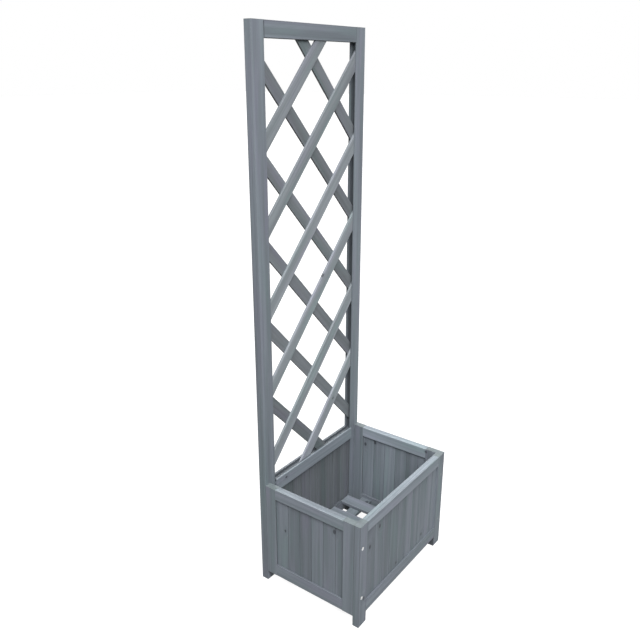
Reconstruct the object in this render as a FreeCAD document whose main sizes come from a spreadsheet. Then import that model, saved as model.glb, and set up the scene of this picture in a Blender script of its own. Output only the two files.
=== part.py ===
import FreeCAD, Part

import math
import operator
import os
import Sketcher

# Planter box with a lattice trellis, all in slatted softwood.
#
# Frame: millimetres, +Z up, the floor at z = 0 under the middle of the object.
# The front of the box faces -Y, the trellis stands along the back at +Y.

doc = FreeCAD.newDocument("planter")

SIZES = [
    ("width", 400, "whole width, over the posts and the legs"),
    ("depth", 295, "whole depth, front of the legs to back of the posts"),
    ("height", 1315, "top of the trellis"),
    ("rim_height", 278, "top of the box"),
    ("foot_height", 27, "floor to the underside of the box"),
    ("post_width", 38, "trellis post across the front"),
    ("post_depth", 20, "trellis post and trellis rails, front to back"),
    ("post_round", 2.4, "rounded arris of the posts"),
    ("trellis_rail_high", 33, "top and bottom rail of the trellis"),
    ("frame_thick", 17, "legs, rails and stiles of the box"),
    ("frame_round", 1.2, "eased arris of those"),
    ("leg_width", 32, "front leg across the front"),
    ("stile_width", 30, "upright of a side wall"),
    ("top_rail_high", 28, "upper rail of the front and side walls"),
    ("bottom_rail_high", 32, "lower rail of every wall"),
    ("housing", 7, "depth of the grooves for boards, tenons and lattice"),
    ("haunch", 6, "tenon shoulder at the outer edge of a rail"),
    ("rear_lip", 7, "wood behind the groove of posts and trellis rails"),
    ("rear_rail_proud", 5, "rear wall's rails in front of the posts"),
    ("fit", 0.3, "clearance of each wooden joint"),
    ("board_cover", 35, "wall board, joint to joint"),
    ("front_first_board", 38, "first board of the front, left leg to its joint"),
    ("board_thick", 8, "wall board"),
    ("board_vee", 1, "chamfer beside each board joint"),
    ("tongue_long", 4, "tongue of a wall board"),
    ("tongue_thick", 2.4, "thickness of that tongue"),
    ("lattice_width", 29.7, "lattice slat"),
    ("lattice_thick", 5, "lattice slat"),
    ("lattice_round", 0.7, "eased arris of the lattice slats"),
    ("lattice_angle", 46.4, "degrees between a lattice slat and the floor"),
    ("lattice_first", 314.3, "height of the lowest crossing near the middle line"),
    ("lattice_pitch", 187.2, "from one such crossing to the next"),
    ("crossing_left_1", 1.5, "lowest crossing, left of the middle line"),
    ("crossing_left_2", 1.5, "second crossing, left of the middle line"),
    ("crossing_left_3", 2, "third crossing, left of the middle line"),
    ("crossing_left_4", 5, "fourth crossing, left of the middle line"),
    ("crossing_left_5", 6, "fifth crossing, left of the middle line"),
    ("crossing_left_6", 0.5, "highest crossing, left of the middle line"),
    ("floor_slat_width", 36, "slat of the floor"),
    ("floor_slat_thick", 9, "slat of the floor"),
    ("floor_slat_pitch", 69, "from one floor slat to the next"),
    ("floor_slat_entry", 3.3, "floor slat's end in the rail"),
    ("bearer_width", 30, "bearer under the floor slats"),
    ("bearer_thick", 9, "bearer under the floor slats"),
    ("bearer_gap", 4.5, "bearer from the stile beside it"),
    ("bearer_housing", 6, "bearer's end in the side rail"),
    ("screw_radius", 2, "screw shank"),
    ("screw_head", 4, "radius of the screw head"),
    ("screw_long", 38, "screw length"),
    ("screw_recess_wide", 1, "arm of the cross in the screw head"),
    ("screw_recess_deep", 1.4, "depth of that cross"),
    ("screw_sink", 0.4, "screw head below the wood"),
    ("screw_inset", 12, "screw from the outer edge"),
    ("screw_low", 79, "height of the lower screws"),
    ("screw_high", 216, "height of the upper screws"),
    ("brad_radius", 0.8, "brad through a crossing"),
    ("brad_head", 1.6, "radius of the brad's head"),
    ("brad_head_high", 0.6, "height of the brad's head"),
    ("brad_short", 1, "wood left in front of the brad's point"),
]

sheet = doc.addObject("Spreadsheet::Sheet", "dims")
for row, (alias, number, note) in enumerate(SIZES, 1):
    sheet.set("A%d" % row, note)
    sheet.set("B%d" % row, str(number))
    sheet.setAlias("B%d" % row, alias)
doc.recompute()

OPERATORS = {"+": operator.add, "-": operator.sub, "*": operator.mul, "/": operator.truediv}


class Size:
    """A size as a number, with the expression over the sheet that gives it."""

    def __init__(self, number, text):
        self.number = number
        self.text = text

    @staticmethod
    def of(value):
        return value if isinstance(value, Size) else Size(float(value), "(%s)" % value)

    @staticmethod
    def joined(left, sign, right):
        left, right = Size.of(left), Size.of(right)
        number = OPERATORS[sign](left.number, right.number)
        return Size(number, "(%s %s %s)" % (left.text, sign, right.text))

    def __add__(self, other):
        return Size.joined(self, "+", other)

    def __radd__(self, other):
        return Size.joined(other, "+", self)

    def __sub__(self, other):
        return Size.joined(self, "-", other)

    def __rsub__(self, other):
        return Size.joined(other, "-", self)

    def __mul__(self, other):
        return Size.joined(self, "*", other)

    def __rmul__(self, other):
        return Size.joined(other, "*", self)

    def __truediv__(self, other):
        return Size.joined(self, "/", other)

    def __neg__(self):
        return Size.joined(0, "-", self)


def cell(alias):
    return Size(float(sheet.get(alias)), "dims.%s" % alias)


width, depth, height = cell("width"), cell("depth"), cell("height")
rim_height, foot_height = cell("rim_height"), cell("foot_height")
post_width, post_depth, post_round = cell("post_width"), cell("post_depth"), cell("post_round")
trellis_rail_high = cell("trellis_rail_high")
frame_thick, frame_round = cell("frame_thick"), cell("frame_round")
leg_width, stile_width = cell("leg_width"), cell("stile_width")
top_rail_high, bottom_rail_high = cell("top_rail_high"), cell("bottom_rail_high")
housing, haunch, fit = cell("housing"), cell("haunch"), cell("fit")
rear_lip, rear_rail_proud = cell("rear_lip"), cell("rear_rail_proud")
board_cover, board_thick, board_vee = cell("board_cover"), cell("board_thick"), cell("board_vee")
front_first_board = cell("front_first_board")
tongue_long, tongue_thick = cell("tongue_long"), cell("tongue_thick")
lattice_width, lattice_thick = cell("lattice_width"), cell("lattice_thick")
lattice_round, lattice_angle = cell("lattice_round"), cell("lattice_angle")
lattice_first, lattice_pitch = cell("lattice_first"), cell("lattice_pitch")
crossing_lefts = [cell("crossing_left_%d" % row) for row in range(1, 7)]
floor_slat_width, floor_slat_thick = cell("floor_slat_width"), cell("floor_slat_thick")
floor_slat_pitch, floor_slat_entry = cell("floor_slat_pitch"), cell("floor_slat_entry")
bearer_width, bearer_thick = cell("bearer_width"), cell("bearer_thick")
bearer_gap, bearer_housing = cell("bearer_gap"), cell("bearer_housing")
screw_radius, screw_head, screw_long = cell("screw_radius"), cell("screw_head"), cell("screw_long")
screw_sink, screw_inset = cell("screw_sink"), cell("screw_inset")
screw_low, screw_high = cell("screw_low"), cell("screw_high")
screw_recess_wide, screw_recess_deep = cell("screw_recess_wide"), cell("screw_recess_deep")
brad_radius, brad_head = cell("brad_radius"), cell("brad_head")
brad_head_high, brad_short = cell("brad_head_high"), cell("brad_short")

slope_angle = "(%s * 1 deg)" % lattice_angle.text
radians = math.radians(lattice_angle.number)
slope = Size(math.tan(radians), "tan(%s)" % slope_angle)
slope_cosine = Size(math.cos(radians), "cos(%s)" % slope_angle)

# Planes of the object.
left_face = -width / 2
front_face = -depth / 2
back_face = depth / 2
front_inside = front_face + frame_thick
back_inside = back_face - post_depth
side_long = depth - frame_thick - post_depth
leg_gap = width - 2 * leg_width
post_gap = width - 2 * post_width
floor_top = foot_height + bottom_rail_high
rail_under = rim_height - top_rail_high
entry = housing - fit

# A board's groove in a wall of the box, measured across the wall.
board_recess = (frame_thick - board_thick) / 2
board_groove = board_thick + 2 * fit

# The lattice's groove in posts and trellis rails, measured from the posts' front face.
lattice_groove = 2 * lattice_thick + 2 * fit
lattice_recess = post_depth - rear_lip - lattice_groove

# The rear wall's rails, which stand in front of the posts.
rear_rail_deep = post_depth + rear_rail_proud
rear_rail_face = back_inside - rear_rail_proud
rear_rail_recess = lattice_recess + rear_rail_proud

# The floor's slats, as many as fit between the side walls.
inside_width = width - 2 * frame_thick
slats_beside = int((inside_width.number - floor_slat_width.number) / 2 / floor_slat_pitch.number)
slat_starts = [
    index * floor_slat_pitch - floor_slat_width / 2
    for index in range(-slats_beside, slats_beside + 1)
]

# The screws' holes: a clear hole for the shank and a cone for the head.
screw_hole = screw_radius + fit
screw_cone = screw_head - screw_radius + screw_sink
screw_heights = (screw_low, screw_high)

nodes = []

ACROSS = {"X": "YZ", "Y": "XZ", "Z": "XY"}
DIRECTIONS = {"X": FreeCAD.Vector(1, 0, 0), "Y": FreeCAD.Vector(0, 1, 0), "Z": FreeCAD.Vector(0, 0, 1)}


def bind(thing, path, value):
    thing.setExpression(path, Size.of(value).text)


def place(thing, corner):
    for axis, value in zip("xyz", corner):
        bind(thing, "Placement.Base.%s" % axis, value)


def new_body(name, corner):
    body = doc.addObject("PartDesign::Body", name)
    body.Label = name
    place(body, corner)
    return body


def new_node(name, corner):
    body = new_body(name, corner)
    nodes.append(body)
    return body


def new_sketch(body, along, offset):
    """A sketch square to an axis of the body, at an offset along that axis."""
    sketch = body.newObject("Sketcher::SketchObject", "outline")
    plane = next(one for one in body.Origin.OriginFeatures if one.Role == ACROSS[along] + "_Plane")
    sketch.AttachmentSupport = [(plane, "")]
    sketch.MapMode = "FlatFace"
    if isinstance(offset, Size):
        bind(sketch, "AttachmentOffset.Base.z", -offset if along == "Y" else offset)
    return sketch


def fix_point(sketch, index, position, values):
    """Holds one point of a sketch at its two distances from the sketch's origin."""
    for kind, axis, value in zip(("DistanceX", "DistanceY"), (-2, -1), values):
        if not isinstance(value, Size):
            sketch.addConstraint(Sketcher.Constraint("PointOnObject", index, position, axis))
            continue
        constraint = Sketcher.Constraint(kind, -1, 1, index, position, value.number)
        row = sketch.addConstraint(constraint)
        bind(sketch, "Constraints[%d]" % row, value)


def draw_polygon(sketch, corners):
    points = [FreeCAD.Vector(*(Size.of(value).number for value in corner), 0) for corner in corners]
    count = len(points)
    for index in range(count):
        sketch.addGeometry(Part.LineSegment(points[index], points[(index + 1) % count]), False)
    for index in range(count):
        following = (index + 1) % count
        sketch.addConstraint(Sketcher.Constraint("Coincident", index, 2, following, 1))
        fix_point(sketch, index, 1, corners[index])


def extrude(body, sketch, along, length, cut):
    kind = "Pocket" if cut else "Pad"
    feature = body.newObject("PartDesign::" + kind, kind.lower())
    feature.Profile = sketch
    feature.Reversed = (along == "Y") != cut
    bind(feature, "Length", length)
    return feature


def block(body, corner, size, along, cut=False):
    """Adds or cuts a box, drawn square to an axis and run along it."""
    axis = "XYZ".index(along)
    first, second = ["XYZ".index(letter) for letter in ACROSS[along]]
    sketch = new_sketch(body, along, corner[axis])
    low = (corner[first], corner[second])
    high = (size[first] + corner[first], size[second] + corner[second])
    draw_polygon(sketch, [low, (high[0], low[1]), high, (low[0], high[1])])
    extrude(body, sketch, along, size[axis], cut)


def edge_names(shape, wanted):
    return ["Edge%d" % index for index, edge in enumerate(shape.Edges, 1) if wanted(edge)]


def ease(body, along, radius):
    """Rounds the four long arrises of a plain stick."""
    doc.recompute()
    stick = body.Tip

    def is_long(edge):
        return edge.tangentAt(edge.FirstParameter).cross(DIRECTIONS[along]).Length < 1e-6

    fillet = body.newObject("PartDesign::Fillet", "fillet")
    fillet.Base = (stick, edge_names(stick.Shape, is_long))
    bind(fillet, "Radius", radius)


def stick(name, corner, size, along, radius):
    """A straight piece of timber with eased arrises, its corner at the body's origin."""
    body = new_node(name, corner)
    block(body, (0, 0, 0), size, along)
    ease(body, along, radius)
    return body


def screw_bores(body, across, heights, start, length):
    """Two clear holes for screws that run along Y."""
    sketch = new_sketch(body, "Y", start)
    for index, up in enumerate(heights):
        centre = FreeCAD.Vector(across.number, up.number, 0)
        sketch.addGeometry(Part.Circle(centre, FreeCAD.Vector(0, 0, 1), screw_hole.number), False)
        row = sketch.addConstraint(Sketcher.Constraint("Radius", index, screw_hole.number))
        bind(sketch, "Constraints[%d]" % row, screw_hole)
        fix_point(sketch, index, 3, (across, up))
    extrude(body, sketch, "Y", length, True)


def countersink(body, face):
    """Opens the screw holes into cones at the face that the heads sit in."""
    doc.recompute()
    drilled = body.Tip

    def is_mouth(edge):
        curve = edge.Curve
        return isinstance(curve, Part.Circle) and abs(curve.Center.y - face) < 1e-6

    chamfer = body.newObject("PartDesign::Chamfer", "chamfer")
    chamfer.Base = (drilled, edge_names(drilled.Shape, is_mouth))
    bind(chamfer, "Size", screw_cone)


def on_side(side, left, right):
    return left if side == "left" else right


# Trellis posts: the corners of the box at the back, grooved all the way up inside.
groove_foot = rim_height - trellis_rail_high + housing - fit
for side in ("left", "right"):
    post_x = on_side(side, left_face, width / 2 - post_width)
    post = stick(side + "_post", (post_x, back_inside, 0), (post_width, post_depth, height), "Z", post_round)
    across = on_side(side, post_width - housing, 0)
    block(
        post,
        (across, lattice_recess, groove_foot),
        (housing, lattice_groove, height - haunch + fit - groove_foot),
        "Z",
        cut=True,
    )
    board_foot = foot_height + haunch - fit
    block(
        post,
        (across, lattice_recess, board_foot),
        (housing, board_groove, groove_foot - board_foot),
        "Z",
        cut=True,
    )
    bore_x = on_side(side, screw_inset, post_width - screw_inset)
    screw_bores(post, bore_x, screw_heights, 0, post_depth)
    countersink(post, post_depth.number)

# Trellis rails, tenoned into the posts' grooves. The bottom one is the box's rear rim.
rail_x = left_face + post_width
for part, top in (("top", height), ("bottom", rim_height)):
    is_top = part == "top"
    rail_y = back_inside if is_top else rear_rail_face
    deep = post_depth if is_top else rear_rail_deep
    recess = lattice_recess if is_top else rear_rail_recess
    rail = stick(
        "trellis_%s_rail" % part,
        (rail_x, rail_y, top - trellis_rail_high),
        (post_gap, deep, trellis_rail_high),
        "X",
        frame_round,
    )
    tenon_high = trellis_rail_high - housing - (haunch if is_top else housing)
    block(
        rail,
        (-entry, recess + fit, housing),
        (post_gap + 2 * entry, lattice_groove - 2 * fit, tenon_high),
        "X",
    )
    groove_z = 0 if is_top else trellis_rail_high - housing
    block(rail, (0, recess, groove_z), (post_gap, lattice_groove, housing), "X", cut=True)
    if not is_top:
        block(rail, (0, recess, 0), (post_gap, board_groove, housing), "X", cut=True)


def slat_housings(rail, start, lip_start, lip_deep):
    """Notches through the inner lip of a lower rail for the ends of the floor's slats."""
    for slat_start in slat_starts:
        block(
            rail,
            (slat_start - fit - start, lip_start, bottom_rail_high - floor_slat_thick - fit),
            (floor_slat_width + 2 * fit, lip_deep, floor_slat_thick + fit),
            "Z",
            cut=True,
        )


# Rear wall of the box below that rail.
back_bottom_rail = stick(
    "back_bottom_rail",
    (rail_x, rear_rail_face, foot_height),
    (post_gap, rear_rail_deep, bottom_rail_high),
    "X",
    frame_round,
)
block(
    back_bottom_rail,
    (-entry, rear_rail_recess + fit, haunch),
    (post_gap + 2 * entry, board_thick, bottom_rail_high - housing - haunch),
    "X",
)
block(
    back_bottom_rail,
    (0, rear_rail_recess, bottom_rail_high - housing),
    (post_gap, board_groove, housing),
    "X",
    cut=True,
)
slat_housings(back_bottom_rail, rail_x, 0, rear_rail_recess)

# Lattice: a front layer that rises to the right and a rear layer that rises to the left,
# face to face, their ends held in the grooves of the posts and the rails.
lattice_y = back_inside + lattice_recess + fit
lattice_low = rim_height - entry
lattice_high = height - trellis_rail_high + entry
lattice_half = post_gap / 2 + entry
lattice_rows = int((lattice_high.number - lattice_first.number) / lattice_pitch.number) + 1
crossings = []
for row in range(lattice_rows):
    left = crossing_lefts[min(row, len(crossing_lefts) - 1)]
    crossings.append((-left, lattice_first + row * lattice_pitch))

brad_shapes = []
hole_shapes = []


def pin(name, radius, x, y, z, length):
    """A round pin that runs along Y."""
    cylinder = doc.addObject("Part::Cylinder", name)
    bind(cylinder, "Radius", radius)
    bind(cylinder, "Height", length)
    cylinder.Placement = FreeCAD.Placement(FreeCAD.Vector(), FreeCAD.Rotation(DIRECTIONS["X"], -90))
    place(cylinder, (x, y, z))
    return cylinder


def compound(name, shapes):
    group = doc.addObject("Part::Compound", name)
    group.Label = name
    group.Links = shapes
    return group


brad_start = lattice_y + brad_short
brad_long = 2 * lattice_thick - brad_short
for row, (rising_x, rising_z) in enumerate(crossings):
    for other, (falling_x, falling_z) in enumerate(crossings):
        if abs(row - other) > 1:
            continue
        x = (rising_x + falling_x) / 2 + (falling_z - rising_z) / (2 * slope)
        z = (rising_z + falling_z) / 2 + slope * (falling_x - rising_x) / 2
        head = pin("brad_head", brad_head, x, lattice_y + 2 * lattice_thick, z, brad_head_high)
        shank = pin("brad_shank", brad_radius, x, brad_start, z, brad_long)
        brad = doc.addObject("Part::Fuse", "brad")
        brad.Base = head
        brad.Tool = shank
        brad_shapes.append(brad)
        hole_shapes.append(pin("brad_hole", brad_radius + fit, x, brad_start - fit, z, brad_long + fit))

brad_holes = compound("brad_holes", hole_shapes)

lattice_limit = doc.addObject("Part::Box", "lattice_limit")
place(lattice_limit, (-lattice_half, back_inside, lattice_low))
bind(lattice_limit, "Length", 2 * lattice_half)
bind(lattice_limit, "Width", post_depth)
bind(lattice_limit, "Height", lattice_high - lattice_low)

slat_long = width / slope_cosine
for layer, turn in (("front", -1), ("rear", 1)):
    slat_y = lattice_y if layer == "front" else lattice_y + lattice_thick
    for row, (middle_x, middle_z) in enumerate(crossings, 1):
        slat = new_body("lattice_%s_stock_%d" % (layer, row), (middle_x, slat_y, middle_z))
        sketch = new_sketch(slat, "X", -slat_long / 2)
        low = -lattice_width / 2
        high = lattice_width / 2
        draw_polygon(sketch, [(0, low), (lattice_thick, low), (lattice_thick, high), (0, high)])
        extrude(slat, sketch, "X", slat_long, False)
        ease(slat, "X", lattice_round)
        tilt = FreeCAD.Rotation(DIRECTIONS["Y"], lattice_angle.number)
        slat.Placement = FreeCAD.Placement(FreeCAD.Vector(), tilt)
        bind(slat, "Placement.Rotation.Angle", turn * lattice_angle)
        trimmed = doc.addObject("Part::Common", "lattice_trimmed")
        trimmed.Base = slat
        trimmed.Tool = lattice_limit
        node = doc.addObject("Part::Cut", "lattice_%s_%d" % (layer, row))
        node.Base = trimmed
        node.Tool = brad_holes
        nodes.append(node)

nodes.append(compound("lattice_brads", brad_shapes))

# Front legs: full height of the box, over the ends of the side walls.
groove_low = foot_height + haunch - fit
groove_high = rim_height - haunch + fit
for side in ("left", "right"):
    leg_x = on_side(side, left_face, width / 2 - leg_width)
    leg = stick(side + "_leg", (leg_x, front_face, 0), (leg_width, frame_thick, rim_height), "Z", frame_round)
    across = on_side(side, leg_width - housing, 0)
    block(
        leg,
        (across, board_recess - fit, groove_low),
        (housing, board_groove, groove_high - groove_low),
        "Z",
        cut=True,
    )
    bore_x = on_side(side, screw_inset, leg_width - screw_inset)
    screw_bores(leg, bore_x, screw_heights, 0, frame_thick)
    countersink(leg, 0)

# Front rails, tenoned into the legs' grooves.
box_rails = (("top", rail_under, top_rail_high), ("bottom", foot_height, bottom_rail_high))
for part, base, high in box_rails:
    is_top = part == "top"
    rail = stick(
        "front_%s_rail" % part,
        (left_face + leg_width, front_face, base),
        (leg_gap, frame_thick, high),
        "X",
        frame_round,
    )
    tenon_z = housing if is_top else haunch
    block(
        rail,
        (-entry, board_recess, tenon_z),
        (leg_gap + 2 * entry, board_thick, high - housing - haunch),
        "X",
    )
    groove_z = 0 if is_top else high - housing
    block(rail, (0, board_recess - fit, groove_z), (leg_gap, board_groove, housing), "X", cut=True)
    if not is_top:
        slat_housings(rail, left_face + leg_width, frame_thick - board_recess + fit, board_recess - fit)

# Side walls: the rails are tenoned into two upright stiles of the wall's full height.
bearer_z = floor_top - floor_slat_thick - bearer_thick
side_span = side_long - 2 * stile_width
side_start = front_inside + stile_width
bearer_places = (bearer_gap, side_span - bearer_gap - bearer_width)
stile_high = rim_height - foot_height
for side in ("left", "right"):
    wall_x = on_side(side, left_face, width / 2 - frame_thick)
    for part in ("rear", "front"):
        is_rear = part == "rear"
        stile_y = back_inside - stile_width if is_rear else front_inside
        stile = stick(
            "%s_%s_stile" % (side, part),
            (wall_x, stile_y, foot_height),
            (frame_thick, stile_width, stile_high),
            "Z",
            frame_round,
        )
        block(
            stile,
            (board_recess - fit, 0 if is_rear else stile_width - housing, haunch - fit),
            (board_groove, housing, stile_high - 2 * haunch + 2 * fit),
            "Z",
            cut=True,
        )
        bore_x = on_side(side, screw_inset, frame_thick - screw_inset)
        bore_long = screw_long + fit - (post_depth if is_rear else frame_thick)
        bore_y = stile_width - bore_long if is_rear else 0
        screw_bores(stile, bore_x, [up - foot_height for up in screw_heights], bore_y, bore_long)
    for part, base, high in box_rails:
        is_top = part == "top"
        rail = stick(
            "%s_%s_rail" % (side, part),
            (wall_x, side_start, base),
            (frame_thick, side_span, high),
            "Y",
            frame_round,
        )
        block(
            rail,
            (board_recess, -entry, housing if is_top else haunch),
            (board_thick, side_span + 2 * entry, high - housing - haunch),
            "Y",
        )
        groove_z = 0 if is_top else high - housing
        block(rail, (board_recess - fit, 0, groove_z), (board_groove, side_span, housing), "Y", cut=True)
        if is_top:
            continue
        across = on_side(side, frame_thick - bearer_housing, 0)
        for start in bearer_places:
            block(
                rail,
                (across, start - fit, bearer_z - foot_height - fit),
                (bearer_housing, bearer_width + 2 * fit, bearer_thick + 2 * fit),
                "Z",
                cut=True,
            )


def board_outline(end, tongued, grooved):
    """A board's section: its grooved edge at 0, its tongued edge at the end, its faces chamfered."""
    middle = board_thick / 2
    half = tongue_thick / 2
    points = []
    if grooved:
        points += [(0, board_vee), (board_vee, 0)]
    else:
        points += [(0, 0)]
    if tongued:
        points += [
            (end - board_vee, 0),
            (end, board_vee),
            (end, middle - half),
            (end + tongue_long, middle - half),
            (end + tongue_long, middle + half),
            (end, middle + half),
            (end, board_thick - board_vee),
            (end - board_vee, board_thick),
        ]
    else:
        points += [(end, 0), (end, board_thick)]
    if grooved:
        deep = tongue_long + fit
        points += [
            (board_vee, board_thick),
            (0, board_thick - board_vee),
            (0, middle + half + fit),
            (deep, middle + half + fit),
            (deep, middle - half - fit),
            (0, middle - half - fit),
        ]
    else:
        points += [(0, board_thick)]
    return points


def wall_boards(prefix, span, lead, corner, along, low, high):
    """Upright boards side by side over a span, the first up to a joint at lead,
    the end ones held in the uprights beside it."""
    others = math.ceil((span.number - lead.number) / board_cover.number - 1e-6)
    boards = []
    for index in range(others + 1):
        first, last = index == 0, index == others
        start = -entry if first else lead + (index - 1) * board_cover
        stop = span + entry if last else lead + index * board_cover
        spot = list(corner)
        spot["XY".index(along)] = corner["XY".index(along)] + start
        name = prefix % (index + 1)
        body = new_body(name, (spot[0], spot[1], low))
        points = board_outline(stop - start, not last, not first)
        if along == "Y":
            points = [(across, run) for run, across in points]
        sketch = new_sketch(body, "Z", 0)
        draw_polygon(sketch, points)
        extrude(body, sketch, "Z", high - low, False)
        boards.append(body)
    return boards


boards_low = floor_top - entry
boards_high = rail_under + entry
nodes += wall_boards(
    "front_plank_%02d",
    leg_gap,
    front_first_board,
    (left_face + leg_width, front_face + board_recess),
    "X",
    boards_low,
    boards_high,
)

# The side boards are full from the rear, so that the one at the front is the narrow one.
full_boards = math.ceil(side_span.number / board_cover.number) - 1
for side in ("left", "right"):
    wall_x = on_side(side, left_face, width / 2 - frame_thick)
    nodes += wall_boards(
        side + "_plank_%d",
        side_span,
        side_span - full_boards * board_cover,
        (wall_x + board_recess, side_start),
        "Y",
        boards_low,
        boards_high,
    )
back_boards = wall_boards(
    "back_plank_%02d",
    post_gap,
    board_cover,
    (left_face + post_width, back_inside + lattice_recess + fit),
    "X",
    boards_low,
    rim_height - trellis_rail_high + entry,
)
nodes.append(compound("back_planks", back_boards))

# Floor: two bearers housed in the side rails, with spaced slats on them.
bearer_long = width - 2 * frame_thick + 2 * (bearer_housing - fit)
bearers = []
for start in bearer_places:
    bearer = new_body("floor_bearer", (-bearer_long / 2, side_start + start, bearer_z))
    block(bearer, (0, 0, 0), (bearer_long, bearer_width, bearer_thick), "X")
    bearers.append(bearer)
nodes.append(compound("floor_bearers", bearers))

slat_front = front_inside - floor_slat_entry
for index, slat_start in enumerate(slat_starts, 1):
    stick(
        "floor_slat_%d" % index,
        (slat_start, slat_front, floor_top - floor_slat_thick),
        (floor_slat_width, rear_rail_face + floor_slat_entry - slat_front, floor_slat_thick),
        "Y",
        frame_round,
    )

# Screws: through the legs and through the posts into the stiles of the side walls.
screws = []
tip_long = 2 * screw_radius
recess_long = 2 * screw_radius
for side in ("left", "right"):
    screw_x = on_side(side, left_face + screw_inset, width / 2 - screw_inset)
    for face, turn, sunk in ((front_face, -90, screw_sink), (back_face, 90, -screw_sink)):
        for up in screw_heights:
            head = doc.addObject("Part::Cone", "screw_head")
            bind(head, "Radius1", screw_head)
            bind(head, "Radius2", screw_radius)
            bind(head, "Height", screw_head - screw_radius)
            shank = doc.addObject("Part::Cylinder", "screw_shank")
            bind(shank, "Radius", screw_radius)
            bind(shank, "Height", screw_long - screw_sink - tip_long)
            tip = doc.addObject("Part::Cone", "screw_tip")
            bind(tip, "Radius1", screw_radius)
            bind(tip, "Radius2", screw_radius / 8)
            bind(tip, "Height", tip_long)
            bind(tip, "Placement.Base.z", screw_long - screw_sink - tip_long)
            whole = doc.addObject("Part::MultiFuse", "screw_whole")
            whole.Shapes = [head, shank, tip]
            arms = []
            for run, across in (("Length", "Width"), ("Width", "Length")):
                arm = doc.addObject("Part::Box", "screw_recess")
                bind(arm, run, recess_long)
                bind(arm, across, screw_recess_wide)
                bind(arm, "Height", screw_recess_deep)
                bind(arm, "Placement.Base.x", -(recess_long if run == "Length" else screw_recess_wide) / 2)
                bind(arm, "Placement.Base.y", -(recess_long if run == "Width" else screw_recess_wide) / 2)
                arms.append(arm)
            cross = doc.addObject("Part::MultiFuse", "screw_cross")
            cross.Shapes = arms
            screw = doc.addObject("Part::Cut", "screw")
            screw.Base = whole
            screw.Tool = cross
            turned = FreeCAD.Rotation(DIRECTIONS["X"], turn)
            screw.Placement = FreeCAD.Placement(FreeCAD.Vector(), turned)
            place(screw, (screw_x, face + sunk, up))
            screws.append(screw)
nodes.append(compound("panel_screws", screws))

doc.recompute()

for thing in doc.Objects:
    if "Invalid" in thing.State or "Error" in thing.State:
        raise RuntimeError("%s failed: %s" % (thing.Label, thing.State))
    if thing.TypeId == "PartDesign::Pocket":
        if thing.Shape.Volume > thing.BaseFeature.Shape.Volume - 1e-3:
            raise RuntimeError("%s cuts nothing" % thing.Name)
for node in nodes:
    if node.Shape.isNull() or not node.Shape.isValid():
        raise RuntimeError("%s has no sound shape" % node.Label)

os.makedirs("parts", exist_ok=True)
for node in nodes:
    node.Shape.exportStep("parts/%s.step" % node.Label)
print(len(nodes), "nodes,", sum(len(node.Shape.Solids) for node in nodes), "solids")
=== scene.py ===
import math
import random

import bpy
from mathutils import Matrix, Vector


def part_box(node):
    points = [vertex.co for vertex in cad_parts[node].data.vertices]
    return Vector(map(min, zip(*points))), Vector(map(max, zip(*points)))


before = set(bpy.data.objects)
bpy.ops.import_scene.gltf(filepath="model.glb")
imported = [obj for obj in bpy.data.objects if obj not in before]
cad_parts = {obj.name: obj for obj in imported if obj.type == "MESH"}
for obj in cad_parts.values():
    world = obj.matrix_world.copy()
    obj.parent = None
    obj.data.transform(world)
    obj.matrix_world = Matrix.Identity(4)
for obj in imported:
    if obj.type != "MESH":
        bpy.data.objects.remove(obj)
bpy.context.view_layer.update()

# Directions on the planter.
ACROSS_FRONT = Vector((1, 0, 0))
FRONT_TO_BACK = Vector((0, 1, 0))
UPRIGHT = Vector((0, 0, 1))
LATTICE_SLOPE = math.radians(46.4)
RISING_RIGHT = Vector((math.cos(LATTICE_SLOPE), 0, math.sin(LATTICE_SLOPE)))
RISING_LEFT = Vector((-math.cos(LATTICE_SLOPE), 0, math.sin(LATTICE_SLOPE)))

# The camera stands off the left front corner, a little under the height of the trellis.
CAMERA_PLACE = (-1.2668, -0.8300, 1.2240)
CAMERA_TILT = math.radians(70.0)
CAMERA_TURN = math.radians(-53.366)
LENS_MM = 38.775
SENSOR_MM = 36


def set_up_camera():
    lens = bpy.data.cameras.new("camera")
    lens.sensor_width = SENSOR_MM
    lens.lens = LENS_MM
    camera = bpy.data.objects.new("camera", lens)
    camera.location = CAMERA_PLACE
    camera.rotation_euler = (CAMERA_TILT, 0, CAMERA_TURN)
    bpy.context.collection.objects.link(camera)
    bpy.context.scene.camera = camera
    bpy.context.scene.view_settings.view_transform = "Standard"


set_up_camera()


class Reading:
    """A value inside a finish: arithmetic on it adds the nodes that work it out."""

    def __init__(self, finish, socket):
        self.finish = finish
        self.socket = socket

    def math(self, operation, *values):
        return self.finish.add("ShaderNodeMath", {"operation": operation}, dict(enumerate(values)))

    def __add__(self, other):
        return self.math("ADD", self, other)

    def __radd__(self, other):
        return self.math("ADD", other, self)

    def __sub__(self, other):
        return self.math("SUBTRACT", self, other)

    def __rsub__(self, other):
        return self.math("SUBTRACT", other, self)

    def __mul__(self, other):
        return self.math("MULTIPLY", self, other)

    def __rmul__(self, other):
        return self.math("MULTIPLY", other, self)

    def __truediv__(self, other):
        return self.math("DIVIDE", self, other)

    def __pow__(self, other):
        return self.math("POWER", self, other)

    def __abs__(self):
        return self.math("ABSOLUTE", self)

    def part(self):
        """What is left over a whole number."""
        return self.math("FRACT", self)

    def or_more(self, other):
        """The larger of two values."""
        return self.math("MAXIMUM", self, other)

    def between(self, low, high):
        """0 up to low, 1 from high, smooth between them."""
        ends = {"Value": self, "From Min": low, "From Max": high}
        return self.finish.add("ShaderNodeMapRange", {"interpolation_type": "SMOOTHSTEP"}, ends)

    def beside(self, output):
        """Another output of the same node."""
        return Reading(self.finish, self.socket.node.outputs[output])


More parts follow.
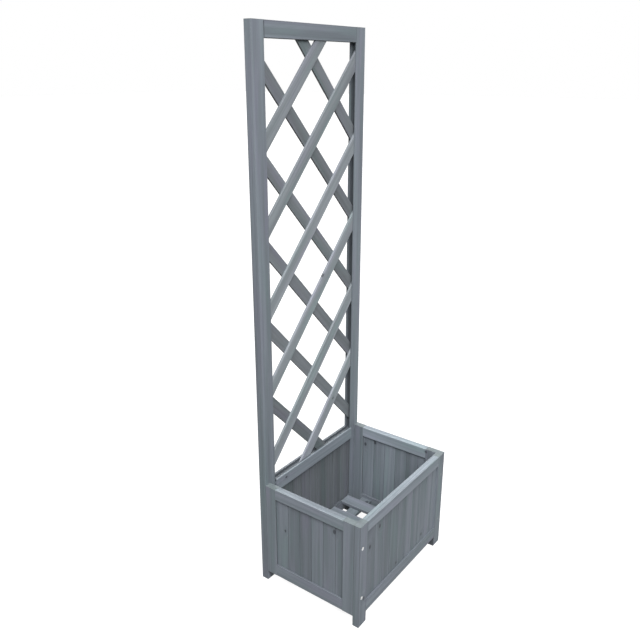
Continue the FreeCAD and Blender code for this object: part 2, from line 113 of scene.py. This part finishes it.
class Finish:
    """The nodes of one material, or of the room round the planter."""

    def __init__(self, owner):
        owner.use_nodes = True
        self.owner = owner
        self.tree = owner.node_tree
        self.tree.nodes.clear()

    def add(self, kind, settings, values, output=0):
        """Adds a node: its settings first, then its sockets' values or links."""
        node = self.tree.nodes.new(kind)
        for name, setting in settings.items():
            setattr(node, name, setting)
        for name, value in values.items():
            if isinstance(value, Reading):
                self.tree.links.new(value.socket, node.inputs[name])
            else:
                node.inputs[name].default_value = value
        return Reading(self, node.outputs[output]) if len(node.outputs) else None

    def own_place(self):
        """Where a point lies, from the middle of the floor under the planter, in metres."""
        return self.add("ShaderNodeTexCoord", {}, {}, output="Object")

    def split(self, place):
        """The three numbers of a place."""
        first = self.add("ShaderNodeSeparateXYZ", {}, {"Vector": place})
        return first, first.beside("Y"), first.beside("Z")

    def noise(self, place, waves, detail=2.0, roughness=0.5, shift=(0, 0, 0)):
        """A cloudy pattern with so many waves in a metre along each of a place's directions."""
        stretch = {"operation": "MULTIPLY_ADD"}
        stretched = self.add("ShaderNodeVectorMath", stretch, {0: place, 1: waves, 2: shift})
        values = {"Vector": stretched, "Scale": 1.0, "Detail": detail, "Roughness": roughness}
        return self.add("ShaderNodeTexNoise", {}, values)

    def blend(self, amount, first, second):
        """Two colours mixed: the first at an amount of 0, the second at 1."""
        colours = {0: amount, 6: first, 7: second}
        return self.add("ShaderNodeMix", {"data_type": "RGBA"}, colours, output=2)

    def surface(self, values, height, relief, strength):
        """The surface itself, with its relief in metres where the height is 1."""
        bump = {"Height": height, "Distance": relief, "Strength": strength}
        normal = self.add("ShaderNodeBump", {}, bump)
        shader = self.add("ShaderNodeBsdfPrincipled", {}, {**values, "Normal": normal})
        self.add("ShaderNodeOutputMaterial", {}, {"Surface": shader})
        return self.owner


def tint(red, green, blue):
    """A colour given as it is seen, in steps of 0 to 255, as Blender's linear colour."""
    steps = [value / 255 for value in (red, green, blue)]
    # The curve that screens use.
    linear = [v / 12.92 if v <= 0.04045 else ((v + 0.055) / 1.055) ** 2.4 for v in steps]
    return (*linear, 1.0)


def shade(colour, amount):
    """A colour made darker or paler."""
    return tuple(channel * amount for channel in colour[:3]) + (1.0,)


# The stain: a thin grey-blue one that lets the softwood's grain and knots through.
STAIN = tint(126, 134, 142)
SLAT_STAIN = tint(128, 134, 139)
VIOLET = tint(134, 133, 150)
GREENISH = tint(118, 137, 138)
# The paler colour of the painted highlight on the arrises.
ARRIS_HIGHLIGHT = tint(166, 172, 176)
KNOT = tint(44, 46, 52)
END_GRAIN = tint(106, 116, 114)

# Shades of the stain, where 1 is the stain itself.
THICK_STAIN = 0.85
THIN_STAIN = 1.16
SOAKED = 0.66
LATE_WOOD = 1.2
# The painted shade along the arrises of the posts and legs.
ARRIS_SHADE = 0.5
# The dark copy of the stain for painted shade and for the dirt in the board joints.
SHADE_AND_DIRT = 0.22

# Patterns of the grain: waves in a metre along it, across it and through it.
RING_WAVES = {"waves": (2.5, 20, 20)}
PORES = {"waves": (26, 1400, 1400), "detail": 3.0, "roughness": 0.6}
STREAKS = {"waves": (3, 150, 150), "detail": 3.0, "roughness": 0.55}
BANDS = {"waves": (1.6, 48, 48)}
HUE_PATCHES = {"waves": (5, 42, 42)}
FARTHEST_SHIFT = 40

# The values of a pattern at which each mark begins, and at which it is full.
THIN_BANDS = (0.34, 0.66)
VIOLET_PATCHES = (0.5, 0.72)
PLAIN_PATCHES = (0.28, 0.5)
SOAKED_STREAKS = (0.42, 0.75)
CLOSED_PORES = (0.3, 0.5)
HIGHLIGHT_PORES = (0.35, 0.6)
RING_RISE = (0.35, 0.85)
RING_END = (0.88, 1.0)

# How much each mark shows, up to 1.
PATCHES_SHOW = 0.5
STREAKS_SHOW = 0.48
LATE_WOOD_SHOWS = 0.16
PORES_SHOW = 0.35
ARRIS_SHADE_SHOWS = 0.8
ARRIS_HIGHLIGHT_SHOWS = 0.4
END_GRAIN_SHOWS = 0.6
HALO_SHOWS = 0.3
KNOT_SHOWS = 0.7

# The growth rings, in metres: the heart's place off the piece's middle, the rings' width,
# how far they wander, and how much their heart leans for each metre along the piece.
HEART_ASIDE = 0.03
HEART_DEPTHS = (0.02, 0.07)
RING_WIDTHS = (0.004, 0.0075)
RING_WANDER = 0.018
HEART_LEAN = 0.012

# A knot's oval shape, and the reach of its parts against its size.
KNOT_LENGTH = 1.5
KNOT_SWELL = 2.5
SWELL_REACH = 5
KNOT_EDGE = (0.55, 1.25)
HALO_EDGE = (1, 3.2)

# The arrises' width and the thin skins of end grain and sides, in metres inside the face.
ARRIS = 0.0022
END_SKIN = (0.0012, 0.0002)
SIDE_SKIN = (0.0006, 0.0001)
JOINT_SKIN = (0.0007, 0.0001)

# The planed face: its sheen, and the relief of its grain.
ROUGHNESS = 0.62
PORE_ROUGHNESS = 0.16
LATE_WOOD_SMOOTHNESS = 0.06
SHEEN = 0.3
LATE_WOOD_HEIGHT = 0.4
PORE_HEIGHT = 0.6
KNOT_DEPTH = 0.2
GRAIN_RELIEF = 0.00035
GRAIN_STRENGTH = 0.45


def lie_of(node):
    """The direction of a node's grain and of its wide face."""
    if node.startswith("lattice_front"):
        return RISING_RIGHT, FRONT_TO_BACK
    if node.startswith("lattice_rear"):
        return RISING_LEFT, FRONT_TO_BACK
    if node.startswith("floor_slat"):
        return FRONT_TO_BACK, UPRIGHT
    if node == "floor_bearers":
        return ACROSS_FRONT, UPRIGHT
    on_the_side = node.startswith(("left_", "right_")) and not node.endswith(("post", "leg"))
    if node.endswith("rail"):
        return (FRONT_TO_BACK, ACROSS_FRONT) if on_the_side else (ACROSS_FRONT, FRONT_TO_BACK)
    return (UPRIGHT, ACROSS_FRONT) if on_the_side else (UPRIGHT, FRONT_TO_BACK)


class Timber:
    """A piece of timber: where a point of it lies, and the patterns of its grain."""

    def __init__(self, node, chance):
        grain, face = lie_of(node)
        # X runs along the grain, and Z out of the wide face.
        self.turn = Matrix((grain, face.cross(grain), face)).transposed()
        self.middle, self.half = self.measure(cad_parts[node].data.vertices)
        self.finish = Finish(bpy.data.materials.new("stained_" + node))
        on_planter = self.finish.own_place()
        self.sideways, self.deep, self.up = self.finish.split(on_planter)
        turned = {"Vector": on_planter, "Location": self.middle, "Rotation": self.turn.to_euler()}
        self.place = self.finish.add("ShaderNodeMapping", {"vector_type": "TEXTURE"}, turned)
        self.along, self.across, self.through = self.finish.split(self.place)
        self.shift = [chance.uniform(-FARTHEST_SHIFT, FARTHEST_SHIFT) for _ in range(3)]
        self.pores = self.pattern(**PORES)
        self.streaks = self.pattern(**STREAKS)

    def measure(self, corners):
        """The piece's middle, and its half sizes along its own grain."""
        points = [self.turn.transposed() @ corner.co for corner in corners]
        low = Vector(min(point[axis] for point in points) for axis in range(3))
        high = Vector(max(point[axis] for point in points) for axis in range(3))
        return self.turn @ ((low + high) / 2), (high - low) / 2

    def pattern(self, waves, detail=2.0, roughness=0.5):
        return self.finish.noise(self.place, waves, detail, roughness, self.shift)

    def knots(self, places):
        """How much knots push the rings aside, and where their wood and their halo lie."""
        swell = wood = halo = 0.0
        for place, size in places:
            knot = self.turn.transposed() @ (Vector(place) - self.middle)
            gap_along = (self.along - knot.x) / KNOT_LENGTH
            gap_across = self.across - knot.y
            far = (gap_along * gap_along + gap_across * gap_across) ** 0.5
            swell = swell + (1 - far.between(0, SWELL_REACH * size)) * KNOT_SWELL * size
            wood = wood + (1 - far.between(*(edge * size for edge in KNOT_EDGE)))
            halo = halo + (1 - far.between(*(edge * size for edge in HALO_EDGE)))
        return swell, wood, halo

    def late_wood(self, swell, chance):
        """The hard outer part of each growth ring, round a heart outside the piece."""
        to_heart = self.across - chance.uniform(-HEART_ASIDE, HEART_ASIDE)
        deep = self.through - chance.choice((-1, 1)) * chance.uniform(*HEART_DEPTHS)
        lean = chance.uniform(-HEART_LEAN, HEART_LEAN)
        radius = (to_heart * to_heart + deep * deep) ** 0.5 + self.along * lean
        wander = self.pattern(**RING_WAVES) * RING_WANDER
        ring = ((radius + wander + swell) / chance.uniform(*RING_WIDTHS)).part()
        return ring.between(*RING_RISE) * (1 - ring.between(*RING_END))

    def near_end(self, skin):
        return abs(self.along).between(self.half.x - skin[0], self.half.x - skin[1])

    def near_side(self, skin):
        return abs(self.across).between(self.half.y - skin[0], self.half.y - skin[1])

    def near_face(self, skin):
        return abs(self.through).between(self.half.z - skin[0], self.half.z - skin[1])


# Where the painted shade begins, and where it is full, in metres on the planter.
# Sideways, from the middle of the planter:
POST_INNER_FACE = (0.1624, 0.1636)
POST_GROOVE_FLOOR = (0.1700, 0.1706)
POST_OUTER_FACE = (0.1990, 0.1998)
TOP_RAIL_SEAM = (0.1602, 0.1618)
FOOT_INNER_FACE = (0.1688, 0.1698)
# Towards the back:
RIM_GROOVE = (0.1248, 0.1272)
RIM_BEHIND_GROOVE = (0.1415, 0.1450)
POST_GROOVE_FRONT = (0.1292, 0.1300)
POST_GROOVE_REAR = (0.1404, 0.1412)
# Upwards:
FOOT_TOP = (0.030, 0.036)
LEDGE = (0.0570, 0.0585)
BOX_TOP = (0.262, 0.280)
RIM_GROOVE_FLOOR = (0.2700, 0.2712)
RIM_TOP = (0.2766, 0.2779)
UPPER_POST = (0.8, 1.2)
TOP_RAIL_EDGE = (1.3122, 1.3142)
# In the pattern of streaks, for the painted shade on the rim:
RIM_SHADE_STREAKS = (0.4, 0.58)

# How much each kind of painted shade, and the dirt in the board joints, shows, up to 1.
GROOVE_SHADE = 0.75
POST_FACE_SHADE = 0.3
POST_OUTSIDE_SHADE = 0.14
RIM_GROOVE_SHADE = 0.8
LESS_BEHIND_GROOVE = 0.35
SEAM_SHADE = 0.4
LEDGE_SHADE = 0.42
RIM_STREAK_SHADE = 0.2
FOOT_SHADE = 0.8
JOINT_DIRT = 0.6
SIDE_SHADE = 0.6
FRONT_SLAT_SHARE = 0.35


def shade_in_post_groove(timber):
    """Painted shade in a post's groove and on its inner face below the box, and less on its inner
    face above the box and low on its outer face.
    """
    aside = abs(timber.sideways)
    on_face = 1 - aside.between(*POST_INNER_FACE)
    in_groove = (
        (1 - aside.between(*POST_GROOVE_FLOOR))
        * timber.deep.between(*POST_GROOVE_FRONT)
        * (1 - timber.deep.between(*POST_GROOVE_REAR))
        * GROOVE_SHADE
    )
    above_box = timber.up.between(*BOX_TOP)
    below_rim = on_face * (1 - above_box) * GROOVE_SHADE
    outside = aside.between(*POST_OUTER_FACE) * (1 - timber.up.between(*UPPER_POST))
    above_rim = in_groove.or_more(on_face * POST_FACE_SHADE) * above_box
    return above_rim + below_rim + outside * POST_OUTSIDE_SHADE


def shade_in_rim_groove(timber):
    """Painted shade in the rear rim's groove and, less, behind it."""
    groove = timber.up.between(*RIM_GROOVE_FLOOR) * timber.deep.between(*RIM_GROOVE)
    behind = timber.deep.between(*RIM_BEHIND_GROOVE)
    return groove * (RIM_GROOVE_SHADE - behind * LESS_BEHIND_GROOVE)


def shade_along_top_edge(timber):
    """Painted shade along the top rail's upper edge and in the seams where it meets the posts."""
    seam = abs(timber.sideways).between(*TOP_RAIL_SEAM)
    return seam.or_more(timber.up.between(*TOP_RAIL_EDGE)) * SEAM_SHADE


def shade_on_ledge(timber):
    """Painted shade on the ledge at the foot of a wall."""
    return timber.up.between(*LEDGE) * LEDGE_SHADE


def shade_on_rim(timber):
    """Painted shade in streaks on top of the rim, darkening its lit top."""
    streaks = timber.streaks.between(*RIM_SHADE_STREAKS)
    return timber.up.between(*RIM_TOP) * streaks * RIM_STREAK_SHADE


def shade_on_foot(timber):
    """Painted shadow on the inner face of a front foot."""
    inner = 1 - abs(timber.sideways).between(*FOOT_INNER_FACE)
    return inner * (1 - timber.up.between(*FOOT_TOP)) * FOOT_SHADE


def in_joints(timber):
    """Dirt in the joints between boards."""
    return (1 - timber.near_face(JOINT_SKIN)) * JOINT_DIRT


def shade_on_sawn_sides(timber):
    """Painted shade on the sides of the rear slats and the stiles."""
    return timber.near_side(SIDE_SKIN) * SIDE_SHADE


def shade_on_slat_sides(timber):
    """Painted shade on the sides of the front slats, a little darker than their faces."""
    return shade_on_sawn_sides(timber) * FRONT_SLAT_SHARE


def shade_and_dirt_of(node):
    """Where a piece has painted shade, or dirt in its board joints, or None."""
    if node.endswith("post"):
        return shade_in_post_groove
    if node == "trellis_bottom_rail":
        return shade_in_rim_groove
    if node == "trellis_top_rail":
        return shade_along_top_edge
    if node.endswith("bottom_rail"):
        return shade_on_ledge
    if node.endswith("top_rail"):
        return shade_on_rim
    if node.endswith("leg"):
        return shade_on_foot
    if "plank" in node:
        return in_joints
    if node.startswith("lattice_front"):
        return shade_on_slat_sides
    return shade_on_sawn_sides if node.startswith("lattice_rear") or node.endswith("stile") else None


# How pale each piece is drawn, where 1 is the stain itself: partly the stain's uneven take, partly
# painted light and shade, as with the dark back planks and rear slats and the paler upper front
# slats and right rim.
TONES_AND_SHADE = {
    "left_post": 1.0,
    "right_post": 1.12,
    "trellis_top_rail": 0.92,
    "trellis_bottom_rail": 1.22,
    "back_bottom_rail": 0.8,
    "back_planks": 0.71,
    "left_leg": 1.0,
    "right_leg": 1.14,
    "front_top_rail": 1.24,
    "front_bottom_rail": 1.1,
    "left_top_rail": 1.1,
    "left_bottom_rail": 1.0,
    "left_rear_stile": 1.02,
    "left_front_stile": 1.04,
    "right_top_rail": 1.56,
    "right_rear_stile": 1.02,
    "floor_bearers": 0.85,
}
# The same for the pieces that come in rows, from the first of each row.
ROW_TONES_AND_SHADE = {
    "lattice_front_": (1.56, 1.54, 1.44, 1.36, 1.15, 1.08),
    "lattice_rear_": (0.78, 0.9, 0.85, 0.9, 0.82, 0.85),
    "left_plank_": (1.0, 1.0, 1.06, 0.83, 0.95, 1.12),
    "front_plank_": (0.9, 0.97, 0.9, 0.98, 0.96, 1.06, 1.02, 1.06, 1.12, 1.1),
    "right_plank_": (1.2, 0.92, 1.04, 1.36, 1.12, 1.14),
    "floor_slat_": (0.88, 0.86, 0.92, 0.88, 0.92),
}


def tone_and_shade_of(node):
    for start, row_tones_and_shade in ROW_TONES_AND_SHADE.items():
        if node.startswith(start):
            return row_tones_and_shade[int(node[len(start) :]) - 1]
    return TONES_AND_SHADE.get(node, 1.0)


# Knots, each with its place on the planter and its size, in metres.
KNOTS = (
    ((-0.1955, 0.0712, 0.1703), 0.003),
    ((-0.1955, -0.0744, 0.2330), 0.0045),
    ((-0.1513, -0.1430, 0.1960), 0.004),
    ((-0.1100, -0.1430, 0.2290), 0.004),
    ((0.1009, -0.1430, 0.0777), 0.0035),
    ((-0.0261, -0.1430, 0.0700), 0.003),
    ((0.1875, 0.0907, 0.2251), 0.004),
    ((0.1875, 0.0595, 0.2400), 0.004),
    ((0.1830, -0.1020, 0.2700), 0.003),
    ((-0.1262, 0.1225, 0.2668), 0.003),
    ((0.0369, 0.1302, 0.7504), 0.0035),
    ((0.0825, 0.1302, 0.4001), 0.003),
    ((0.1690, 0.0700, 0.0500), 0.005),
    # The spot beside the near leg's lower screw is painted shade for an empty screw hole, drawn as
    # a knot.
    ((-0.1796, -0.1475, 0.0722), 0.0042),
    ((-0.0700, 0.1400, 0.1600), 0.005),
)
NEAR = 0.0015


def knots_of(node):
    """The knots whose places lie on a node."""
    low, high = (Vector(corner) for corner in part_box(node))
    found = []
    for place, size in KNOTS:
        if all(low[axis] - NEAR <= place[axis] <= high[axis] + NEAR for axis in range(3)):
            found.append((place, size))
    return found


def stained_timber(node):
    """Stained softwood, with growth rings, fine pores along the grain, bands, streaks and patches
    of hue where the stain took unevenly, knots, darker end grain, dirt in the board joints,
    painted shade in grooves, seams, on ledges, rims, feet and sides, and painted shade or a
    painted highlight along the arrises."""
    chance = random.Random(node)
    timber = Timber(node, chance)
    finish, pores = timber.finish, timber.pores
    knots = knots_of(node)
    swell, knot_wood, halo = timber.knots(knots)
    late_wood = timber.late_wood(swell, chance)
    hue = timber.pattern(**HUE_PATCHES)

    # The piece's tone, partly the stain's uneven take and partly painted light and shade.
    tone_and_shade = tone_and_shade_of(node)
    rough_sawn = node.startswith("lattice") or node == "back_planks"
    stain = shade(SLAT_STAIN if rough_sawn else STAIN, tone_and_shade)
    soaked = shade(stain, SOAKED)

    thin_bands = timber.pattern(**BANDS).between(*THIN_BANDS)
    colour = finish.blend(thin_bands, shade(stain, THICK_STAIN), shade(stain, THIN_STAIN))
    violet = hue.between(*VIOLET_PATCHES) * PATCHES_SHOW
    colour = finish.blend(violet, colour, shade(VIOLET, tone_and_shade))
    greenish = (1 - hue.between(*PLAIN_PATCHES)) * PATCHES_SHOW
    colour = finish.blend(greenish, colour, shade(GREENISH, tone_and_shade))
    streaks = timber.streaks.between(*SOAKED_STREAKS) * STREAKS_SHOW
    colour = finish.blend(streaks, colour, soaked)
    colour = finish.blend(late_wood * LATE_WOOD_SHOWS, colour, shade(stain, LATE_WOOD))
    open_pores = (1 - pores.between(*CLOSED_PORES)) * PORES_SHOW
    colour = finish.blend(open_pores, colour, soaked)

    arris = timber.near_side((ARRIS, 0)) * timber.near_face((ARRIS, 0))
    # Painted shade along the arrises of the posts and legs.
    if node.endswith(("post", "leg")):
        colour = finish.blend(arris * ARRIS_SHADE_SHOWS, colour, shade(stain, ARRIS_SHADE))
    # On the other pieces, a painted highlight along the arrises, broken up by the pores.
    elif "plank" not in node and not node.endswith("bottom_rail"):
        arris_highlight = arris * pores.between(*HIGHLIGHT_PORES) * ARRIS_HIGHLIGHT_SHOWS
        colour = finish.blend(arris_highlight, colour, shade(ARRIS_HIGHLIGHT, tone_and_shade))
    colour = finish.blend(timber.near_end(END_SKIN) * END_GRAIN_SHOWS, colour, END_GRAIN)
    if knots:
        colour = finish.blend(halo * HALO_SHOWS, colour, soaked)
        colour = finish.blend(knot_wood * KNOT_SHOWS, colour, KNOT)
    # Painted shade, and dirt in the board joints, blended towards a dark copy of the stain.
    shade_and_dirt = shade_and_dirt_of(node)
    if shade_and_dirt:
        colour = finish.blend(shade_and_dirt(timber), colour, shade(stain, SHADE_AND_DIRT))

    rough = ROUGHNESS + pores * PORE_ROUGHNESS - late_wood * LATE_WOOD_SMOOTHNESS
    height = late_wood * LATE_WOOD_HEIGHT + pores * PORE_HEIGHT - knot_wood * KNOT_DEPTH
    planed = {"Base Color": colour, "Roughness": rough, "Specular IOR Level": SHEEN}
    return finish.surface(planed, height, GRAIN_RELIEF, GRAIN_STRENGTH)


# Bright zinc plate, its clouds and fine scratches in waves in a metre.
ZINC_DULL = tint(208, 210, 208)
ZINC_BRIGHT = tint(234, 235, 232)
ZINC_CLOUDS = {"waves": (900, 900, 900), "detail": 3.0}
ZINC_SCRATCHES = {"waves": (3000, 3000, 300)}
BRIGHT_CLOUDS = (0.3, 0.7)
ZINC_ROUGHNESS = 0.24
CLOUD_ROUGHNESS = 0.16
SCRATCH_ROUGHNESS = 0.06
ZINC_RELIEF = 0.00005
ZINC_STRENGTH = 0.3

# The stain over the heads to the right of the planter's middle.
RIGHT_OF_MIDDLE = (-0.001, 0.001)
STAINED_OVER = 0.85
STAIN_ROUGHNESS = 0.35


def zinc_plated():
    """Bright zinc-plated steel, with the heads on the right stained over."""
    finish = Finish(bpy.data.materials.new("zinc_screws"))
    place = finish.own_place()
    sideways = finish.split(place)[0]
    stained = sideways.between(*RIGHT_OF_MIDDLE)
    cloud = finish.noise(place, **ZINC_CLOUDS)
    scratches = finish.noise(place, **ZINC_SCRATCHES)
    bright = finish.blend(cloud.between(*BRIGHT_CLOUDS), ZINC_DULL, ZINC_BRIGHT)
    rough = ZINC_ROUGHNESS + cloud * CLOUD_ROUGHNESS + scratches * SCRATCH_ROUGHNESS
    plate = {
        "Base Color": finish.blend(stained * STAINED_OVER, bright, STAIN),
        "Roughness": rough + stained * STAIN_ROUGHNESS,
        "Metallic": 1 - stained * STAINED_OVER,
    }
    return finish.surface(plate, scratches, ZINC_RELIEF, ZINC_STRENGTH)


def dress(node, material):
    """Gives a node its finish, in every slot that it has."""
    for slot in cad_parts[node].material_slots:
        slot.material = material


zinc = zinc_plated()
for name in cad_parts:
    dress(name, zinc if name in ("panel_screws", "lattice_brads") else stained_timber(name))


# The studio: a floor and a room that look white, and plain soft lamps.
FLOOR_SIZE = 60
FLOOR_GREY = tint(84, 84, 84)
FLOOR_DARKER_GREY = tint(78, 78, 78)
FLOOR_CLOUDS = {"waves": (3, 3, 3)}
FLOOR_MOTTLE = 0.2
FLOOR_SEEN = tint(140, 140, 140)
FLOOR_GLOW = 0.9
WHITE = (1, 1, 1, 1)
ROOM_LIGHT = 0.1


def studio_floor():
    """White where it is looked at, with the planter's soft shadow, and grey to the planter."""
    finish = Finish(bpy.data.materials.new("studio_floor"))
    camera_sees = finish.add("ShaderNodeLightPath", {}, {}, output="Is Camera Ray")
    through_glass = camera_sees.beside("Is Transmission Ray")
    seen = camera_sees.or_more(camera_sees.beside("Is Glossy Ray").or_more(through_glass))
    mottle = finish.noise(finish.own_place(), **FLOOR_CLOUDS) * FLOOR_MOTTLE
    grey = finish.blend(mottle, FLOOR_GREY, FLOOR_DARKER_GREY)
    plain = finish.add("ShaderNodeBsdfDiffuse", {}, {"Color": grey})
    bright = finish.add("ShaderNodeBsdfDiffuse", {}, {"Color": FLOOR_SEEN})
    glow = finish.add("ShaderNodeEmission", {}, {"Color": WHITE, "Strength": FLOOR_GLOW})
    shown = finish.add("ShaderNodeAddShader", {}, {0: bright, 1: glow})
    both = finish.add("ShaderNodeMixShader", {}, {0: seen, 1: plain, 2: shown})
    finish.add("ShaderNodeOutputMaterial", {}, {"Surface": both})
    return finish.owner


bpy.ops.mesh.primitive_plane_add(size=FLOOR_SIZE, location=(0, 0, 0))
floor = bpy.context.object
floor.name = "studio_floor"
floor.data.materials.append(studio_floor())


def lit_room():
    """A dim even room that shows white where the camera looks past the floor."""
    room = Finish(bpy.data.worlds.new("studio_room"))
    camera_sees = room.add("ShaderNodeLightPath", {}, {}, output="Is Camera Ray")
    seen = camera_sees.or_more(camera_sees.beside("Is Transmission Ray"))
    strength = room.add("ShaderNodeMapRange", {}, {"Value": seen, "To Min": ROOM_LIGHT})
    light = room.add("ShaderNodeBackground", {}, {"Color": WHITE, "Strength": strength})
    room.add("ShaderNodeOutputWorld", {}, {"Surface": light})
    bpy.context.scene.world = room.owner


def hang(name, kind, energy, turned_from, place=(0, 0, 0)):
    """A lamp that shines from a direction towards the planter."""
    lamp = bpy.data.lights.new(name, kind)
    lamp.energy = energy
    holder = bpy.data.objects.new(name, lamp)
    holder.location = place
    holder.rotation_euler = turned_from.to_track_quat("Z", "Y").to_euler()
    bpy.context.collection.objects.link(holder)
    return lamp


# Distant soft lamps: the direction that each shines from, and its strength.
DISTANT_LAMPS = {
    "overhead_light": ((0, 0, 1), 1.35),
    "key_light": ((-0.4, -0.3, 0.866), 1.45),
    "front_light": ((-0.25, -0.78, 0.574), 0.42),
    "side_light": ((-0.815, -0.082, 0.574), 0.4),
    "back_light": ((0.68, 0.69, 0.24), 2.7),
}
LAMP_SPREAD = math.radians(30)
SOFTBOX_PLACE = Vector((-1.3, -1.6, 2.4))
SOFTBOX_AIM = Vector((0, 0, 0.9))
SOFTBOX_SIZE = 1.4
SOFTBOX_WATTS = 50

lit_room()
for lamp_name, (direction, energy) in DISTANT_LAMPS.items():
    hang(lamp_name, "SUN", energy, Vector(direction)).angle = LAMP_SPREAD
softbox = hang("high_softbox", "AREA", SOFTBOX_WATTS, SOFTBOX_PLACE - SOFTBOX_AIM, SOFTBOX_PLACE)
softbox.shape = "DISK"
softbox.size = SOFTBOX_SIZE
